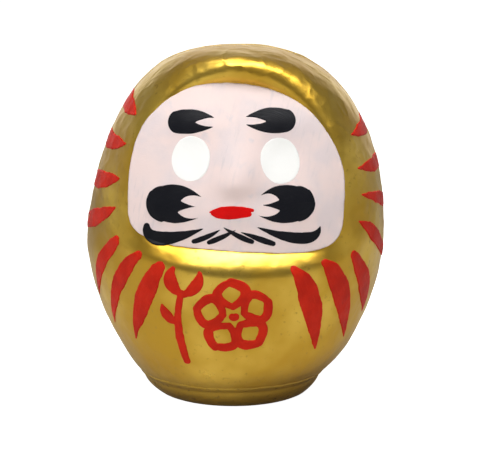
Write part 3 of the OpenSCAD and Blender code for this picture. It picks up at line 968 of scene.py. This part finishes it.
def base_band(steps=360):
    """The paper band round the foot, its upper edge torn and wavy."""
    rise = np.linspace(0.0, 1.0, 15)
    turn = np.linspace(0.0, TAU, steps, endpoint=False)
    torn = 0.35 * waver(turn * 4.0 * 64 / TAU / 4, 31) * np.abs(np.sin(turn / 2))
    edge = BAND_TOP + 0.5 * np.sin(turn + 0.6) + torn
    profile = [(r, BAND_THICK * (1.0 - max(0.0, (r - 0.86) / 0.14) ** 2) * min(1.0, 0.35 + r / 0.1))
               for r in rise]
    profile += [(r, BAND_UNDER) for r in rise[::-2]]
    angle, height, lift, faces = [], [], [], []
    for a, top in zip(turn, edge):
        for share, thick in profile:
            angle.append(a)
            height.append(BAND_FOOT + (top - BAND_FOOT) * share)
            lift.append(thick)
    n = len(profile)
    for i in range(steps):
        for j in range(n):
            a, b, k = i * n, ((i + 1) % steps) * n, (j + 1) % n
            faces.append([a + j, b + j, b + k, a + k])
    verts = [(a, h, 0.0) for a, h in zip(angle, height)]
    settings = {"Lump Height": 0.8, "Dent Height": 0.35, "Crease Height": 0.5, "Crease Size": 9.0,
                "Material": GOLD_BAND}
    values = {"angle": angle, "level": height, "lift": lift}
    piece = shape_with(SHELL_TREE, "base_band", verts, faces, values, settings)
    settle(piece, "base_band")


def turned(name, profile, finish, sway=0.15, steps=160, seed=9):
    """A piece turned round the foot's own axis from a closed half section, a little out of true."""
    centre = float(FORM.lean(3.0))
    verts, faces, rows = [], [], []
    for k, (r, z) in enumerate(profile):
        if r == 0.0:
            rows.append([len(verts)] * steps)
            verts.append((centre * MM, 0.0, z * MM))
            continue
        rows.append([])
        for i in range(steps):
            a = TAU * i / steps
            hand = float(waver(np.array(i * 24 / steps), seed + k))
            out = r + sway * math.sin(3.0 * a + k) * 0.3 + sway * hand
            rows[-1].append(len(verts))
            verts.append(((centre + out * math.cos(a)) * MM, out * math.sin(a) * MM, z * MM))
    for low, high in zip(rows, rows[1:] + (rows[:1] if profile[0][0] > 0.0 else [])):
        for i in range(steps):
            j = (i + 1) % steps
            ring = list(dict.fromkeys([low[i], low[j], high[j], high[i]]))
            if len(ring) > 2:
                faces.append(ring)
    mesh = bpy.data.meshes.new(name)
    mesh.from_pydata(verts, [], faces)
    mesh.polygons.foreach_set("use_smooth", [True] * len(mesh.polygons))
    mesh.materials.append(finish)
    settle(linked(name, mesh), name)


def softened(corners, radius):
    """Rounds the corners of a half section so that no turned edge is knife sharp."""
    out = []
    for k, here in enumerate(corners):
        if here[0] == 0.0:
            out.append(here)
            continue
        h = np.array(here)
        before, after = (np.array(p) - h for p in (corners[k - 1], corners[(k + 1) % len(corners)]))
        back, on = np.linalg.norm(before), np.linalg.norm(after)
        r = min(radius, 0.4 * back, 0.4 * on)
        a, b = h + before / back * r, h + after / on * r
        for t in (0.0, 0.33, 0.67, 1.0):
            p = (1 - t) ** 2 * a + 2 * t * (1 - t) * h + t * t * b
            out.append((float(p[0]), float(p[1])))
    return out


half_shell("shell_front", 0.0, 300)
half_shell("shell_back", math.pi, 160)
seam_strip()
base_band()
WEIGHT = ([(0.0, 0.5), (31.3, 0.5)] + [(float(FORM.foot(z)) - 0.3, z) for z in (0.9, 2.0, 3.6, 5.6, 7.4)]
          + [(39.9, 8.95), (37.5, 9.0), (37.5, 15.0), (35.5, 17.0), (22.0, 17.0), (18.0, 12.0), (0.0, 11.6)])
GLUE_BEAD = [(37.55, 9.05), (38.9, 9.05), (38.8, 12.2), (38.1, 13.4), (37.55, 13.5)]
SOLE = [(0.0, 0.02), (30.4, 0.0), (31.2, 0.08), (31.2, 0.42), (30.8, 0.48), (0.0, 0.48)]
turned("base_weight", softened(WEIGHT, 0.6), CLAY)
turned("glue_ring", softened(GLUE_BEAD, 0.3), GLUE, sway=0.05, seed=30)
turned("bottom_paper", softened(SOLE, 0.1), KRAFT, sway=0.25, seed=50)


# ---- face -----------------------------------------------------------------------

COAT = 0.16
ON_COAT = COAT + 0.02


def face_rule(x, z):
    wide = waver_2(x / 9.0 + 30.0, z / 9.0 + 30.0, 81)
    fine = waver_2(x / 2.2 + 30.0, z / 2.2 + 30.0, 82)
    return -FORM.outside(x, z) + 0.35 * wide + 0.10 * fine


def eye(name, x, z, half_w, half_h, tilt, seed):
    """An eye's white: a slightly squared oval, tilted, with an uneven edge."""
    t, square = math.radians(tilt), 2.12

    def rule(s, h):
        a = (s - x) * math.cos(t) + (h - z) * math.sin(t)
        b = (h - z) * math.cos(t) - (s - x) * math.sin(t)
        reach = (np.abs(a / half_w) ** square + np.abs(b / half_h) ** square) ** (1 / square)
        return (1.0 - reach) * half_w + 0.12 * waver_2(s / 4.0 + 30.0, h / 4.0 + 30.0, seed)

    shape = Patch((x - 10.5, z - 11.5), (x + 10.5, z + 11.5), rule, grain=(0.3, 0.95))
    paint(name, "eye_white", [shape], 0, EYE, full=0.05, edge=0.9, lift=ON_COAT, streak=0.12,
          streak_w=1.0, seed=seed)


def black_mark(name, *strokes, seed=11, full=0.17):
    shapes = [Stroke(*s, ragged=0.45, seed=seed + 7 * i) for i, s in enumerate(strokes)]
    paint(name, "black_paint", shapes, 0, BLACK, pitch=0.3, full=full, edge=0.35, lift=ON_COAT,
          streak=0.3, seed=seed)


face = Patch((-50.0, 73.0), (50.0, 148.0), face_rule, grain=(0.25, 0.97))
paint("face_coat", "face_paint", [face], 0, FACE, pitch=0.5, full=COAT, edge=0.6, lift=0.02,
      streak=0.12, streak_w=1.4, sink=0.12, seed=80)
eye("left_eye", -19.4, 114.4, 8.1, 9.4, -12.0, 91)
eye("right_eye", 18.5, 113.7, 8.2, 9.7, 17.0, 92)
black_mark("left_brow",
           ((-24.4, 129.7), (-17.4, 134.2), (-9.3, 131.5), (4.8, 2.3, 0.05)),
           ((-24.4, 129.4), (-17.8, 125.8), (-9.6, 128.0), (4.8, 2.1, 0.05)), seed=101)
black_mark("right_brow",
           ((20.3, 130.4), (12.5, 134.6), (3.9, 131.9), (4.9, 2.5, 0.05)),
           ((20.3, 130.2), (13.0, 125.8), (3.9, 128.9), (4.9, 2.3, 0.05)), seed=111)
black_mark("left_cheek_whiskers",
           ((-30.9, 95.6), (-24.5, 103.8), (-14.9, 98.7), (7.6, 3.1, 0.05)),
           ((-31.1, 95.2), (-24.5, 94.7), (-17.3, 94.6), (7.6, 2.4, 0.05)),
           ((-30.7, 93.7), (-25.8, 86.8), (-15.9, 89.9), (6.4, 1.9, 0.05)), seed=121)
black_mark("right_cheek_whiskers",
           ((25.8, 95.9), (17.6, 104.2), (10.2, 99.4), (7.5, 2.5, 0.05)),
           ((26.0, 95.5), (17.6, 94.9), (9.4, 95.4), (7.5, 1.9, 0.05)),
           ((25.6, 94.4), (18.3, 87.0), (9.2, 91.1), (6.8, 2.1, 0.05)), seed=131)
black_mark("left_moustache", ((-38.4, 85.4), (-38.2, 75.4), (-13.4, 85.5), (1.4, 3.0, 0.05)), seed=141)
black_mark("right_moustache", ((35.7, 85.3), (33.8, 75.5), (8.2, 86.2), (0.3, 2.5, 0.05)), seed=151)
black_mark("left_outer_bristle", ((-18.2, 79.7), (-12.5, 81.2), (-6.9, 84.9), (1.0, 1.1, 0.1)), seed=161)
black_mark("left_inner_bristle", ((-11.6, 79.4), (-6.5, 81.2), (-0.3, 84.8), (1.0, 1.1, 0.1)), seed=171)
black_mark("right_inner_bristle", ((6.6, 79.8), (0.5, 81.8), (-5.6, 86.0), (1.0, 1.1, 0.1)), seed=181,
           full=0.24)
black_mark("right_outer_bristle", ((15.6, 78.8), (9.5, 81.0), (1.8, 83.9), (1.1, 1.2, 0.1)), seed=191)
mouth = [
    Stroke((-11.2, 92.3), (-3.5, 94.8), (6.8, 93.2), (0.4, 1.35, 0.7), ragged=0.8, seed=201),
    Stroke((-10.2, 91.7), (-6.0, 90.3), (5.2, 91.8), (0.6, 1.5, 1.3), ragged=0.8, seed=204),
]
paint("mouth", "lip_paint", mouth, 0, LIP, pitch=0.3, full=0.18, edge=0.35, lift=ON_COAT, seed=201)


# ---- stripes and chest ornament ---------------------------------------------------

HOOD_LEFT = (
    ((16, 131.5), (4, 134.5), (-18, 138), (0.3, 3.4, 3.4)),
    ((17.3, 119.2), (6, 117.5), (-18, 119.5), (0.5, 3.3, 3.4)),
    ((18, 104.2), (8, 101.5), (-17, 100.5), (0.4, 3.6, 3.6)),
    ((18, 91.5), (7, 85.5), (-17, 81), (0.6, 3.6, 3.5)),
)
HOOD_RIGHT = (
    ((-13.5, 122.8), (2, 123.5), (19, 126.5), (0.3, 3, 3.4)),
    ((-16, 108.5), (0, 108), (19, 108.5), (0.3, 3, 3.4)),
    ((-15.5, 97), (0, 94), (19, 90), (0.3, 2.8, 3.4)),
    ((-18.5, 85.6), (-6, 79), (13, 67.5), (0.4, 3.5, 2.6)),
)
CHEST_LEFT = (
    ((-7.2, 77.5), (-24.9, 65.4), (-32.2, 48.2), (2.2, 3.7, 0.1)),
    ((5.9, 73.0), (-10.4, 61.5), (-21.4, 36.9), (1.9, 3.6, 0.1)),
    ((16.3, 68.7), (4.7, 54.8), (-6.0, 32.7), (2.5, 4.2, 0.4)),
)
CHEST_RIGHT = (
    ((6.4, 71.2), (23.7, 54.0), (25.6, 41.1), (2.3, 4.7, 0.1)),
    ((-9.4, 69.5), (2.8, 58.6), (13.0, 31.9), (2.0, 4.9, 0.4)),
    ((-23.2, 68.0), (-11.5, 52.2), (-5.6, 29.7), (1.5, 4.7, 0.4)),
)


def red_mark(name, shapes, seed, turn=0, pitch=0.35, **more):
    paint(name, "red_paint", shapes, turn, RED, pitch=pitch, seed=seed, **{"full": 0.24, **more})


def stripes(place, rows, side, turn, first_seed, dry=0.0, **more):
    """One side's row of stripes; the right side's seeds lie 200 above the left side's."""
    for i, row in enumerate(rows):
        seed = first_seed + 20 * i + (200 if side == "right" else 0)
        shape = Stroke(*row, ragged=1.3, dry=dry, seed=seed)
        red_mark(f"{side}_{place}_stripe_{i + 1}", [shape], seed, turn, **more)


HOOD_COAT = {"dry": 0.35, "pitch": 0.4, "lift": 0.05, "sink": 0.12}
stripes("hood", HOOD_LEFT, "left", -70, 300, **HOOD_COAT)
stripes("hood", HOOD_RIGHT, "right", 70, 300, **HOOD_COAT)
stripes("chest", CHEST_LEFT, "left", -45, 700)
stripes("chest", CHEST_RIGHT, "right", 45, 700)

FLOWER_X, FLOWER_Z = -1.0, 47.5


def petal_strokes():
    """Five petals, each drawn with two pulls from the heart out to the tip."""
    for i in range(5):
        t = math.radians(72 * i + 6)
        for side in (-1, 1):
            upright = ((0.0, 4.6), (side * 12.54, 11.16), (0.0, 16.1))
            spots = [(FLOWER_X + x * math.cos(t) - y * math.sin(t),
                      FLOWER_Z + x * math.sin(t) + y * math.cos(t)) for x, y in upright]
            yield Stroke(*spots, (1.43, 2.09, 1.71), ragged=1.2, seed=1100 + 10 * i + side)


red_mark("chest_flower", list(petal_strokes()), 1100)
heart = Stroke((-1.6, 47.6), (-1.0, 47.2), (-0.4, 47.5), (1.8, 1.9, 1.8), ragged=1.0, seed=1201)
red_mark("flower_heart", [heart], 1201, pitch=0.3, full=0.26)
SPRIG = (
    ((-21.5, 25.5), (-27.5, 42), (-23.5, 58), (1.6, 1.7, 1.2)),
    ((-23.3, 57.0), (-30.5, 62), (-27.0, 68.5), (1.0, 2.9, 1.0)),
    ((-23.3, 56.5), (-15.5, 60), (-15.5, 67.0), (1.0, 2.7, 0.9)),
    ((-25.3, 43.5), (-30.5, 45), (-32.0, 51.5), (0.9, 2.3, 0.5)),
)
sprig = [Stroke(*s, ragged=1.2, seed=1300 + 10 * i) for i, s in enumerate(SPRIG)]
red_mark("chest_sprig", sprig, 1300)


# ---- floor, light and camera --------------------------------------------------------

def floor():
    n, reach = 40, 3.0
    line = [reach * (2 * i / n - 1) for i in range(n + 1)]
    corners = (0, 1, n + 2, n + 1)
    faces = [[j * (n + 1) + i + corner for corner in corners] for j in range(n) for i in range(n)]
    mesh = bpy.data.meshes.new("floor")
    mesh.from_pydata([(x, y, 0.0) for y in line for x in line], [], faces)
    made, tree, shader, _ = finish_of("pale table")
    seen = node(tree, "ShaderNodeLightPath").outputs["Is Camera Ray"]
    join(tree, ((0.80, 0.80, 0.79, 1), shader["Base Color"]), (0.8, shader["Roughness"]),
         (0.1, shader["Specular IOR Level"]), ((1.0, 1.0, 0.99, 1), shader["Emission Color"]),
         (seen, shader["Emission Strength"]))
    mesh.materials.append(made)
    linked("floor", mesh)


def studio_world():
    """A white sweep behind, the dark of the room in front and at the sides, a dim ceiling."""
    world = bpy.data.worlds.new("studio")
    world.use_nodes = True
    bpy.context.scene.world = world
    tree = world.node_tree
    tree.nodes.clear()
    way = node(tree, "ShaderNodeTexCoord").outputs["Generated"]
    parts = node(tree, "ShaderNodeSeparateXYZ")
    join(tree, (way, parts.inputs[0]))
    aside, behind, height = (Sum(tree, s) for s in parts.outputs)
    sweep = smooth((behind - 0.76) / 0.18) * (1.0 - smooth((height - 0.30) / 0.28))
    left_glow = smooth((aside * -1.0 - 0.2) / 0.6) * 0.12
    near_level = 1.0 - smooth((size_of(height) - 0.05) / 0.35)
    low_glow = smooth((size_of(aside) - 0.45) / 0.4) * near_level * 0.34
    value = 0.19 + left_glow + low_glow + sweep * 1.05 + smooth((height - 0.5) / 0.4) * 0.08
    seen = Sum(tree, node(tree, "ShaderNodeLightPath").outputs["Is Camera Ray"])
    strength = value * (1.0 - seen) + seen * 1.05
    back = node(tree, "ShaderNodeBackground")
    out = node(tree, "ShaderNodeOutputWorld")
    join(tree, ((1.0, 1.0, 1.0, 1), back.inputs["Color"]), (strength, back.inputs["Strength"]),
         (back.outputs[0], out.inputs["Surface"]))


def aimed(name, data, place, aim):
    made = linked(name, data)
    made.location = place
    made.rotation_euler = (Vector(aim) - Vector(place)).to_track_quat("-Z", "Y").to_euler()
    return made


def softbox(name, place, aim, breadth, depth, watts, mirrored=True, scattered=True):
    light = bpy.data.lights.new(name, "AREA")
    light.shape, light.size, light.size_y = "RECTANGLE", breadth, depth
    light.energy, light.color = watts, (1.0, 0.99, 0.97)
    lamp = aimed(name, light, place, aim)
    lamp.visible_glossy, lamp.visible_diffuse = mirrored, scattered


def camera():
    lens = bpy.data.cameras.new("camera")
    lens.sensor_width, lens.lens = 36.0, 110.9
    lens.shift_x, lens.shift_y = 0.0271, -0.0362
    bpy.context.scene.camera = aimed("camera", lens, (0.0, -0.700, 0.200), (0.0, 0.0, 0.080))


floor()
studio_world()
softbox("front_top", (-0.03, -0.33, 0.82), (0.0, 0.0, 0.08), 0.52, 0.42, 5.2)
softbox("over_top", (0.02, 0.02, 0.92), (0.0, 0.0, 0.1), 0.75, 0.30, 3.0, scattered=False)
softbox("front_right", (0.36, -0.22, 0.76), (0.0, 0.0, 0.1), 0.34, 0.40, 3.0, scattered=False)
softbox("fill", (-0.45, -1.1, 0.22), (0.0, 0.0, 0.09), 0.9, 0.6, 2.9, mirrored=False)
camera()
bpy.context.scene.view_settings.view_transform = "Standard"

bpy.context.view_layer.update()
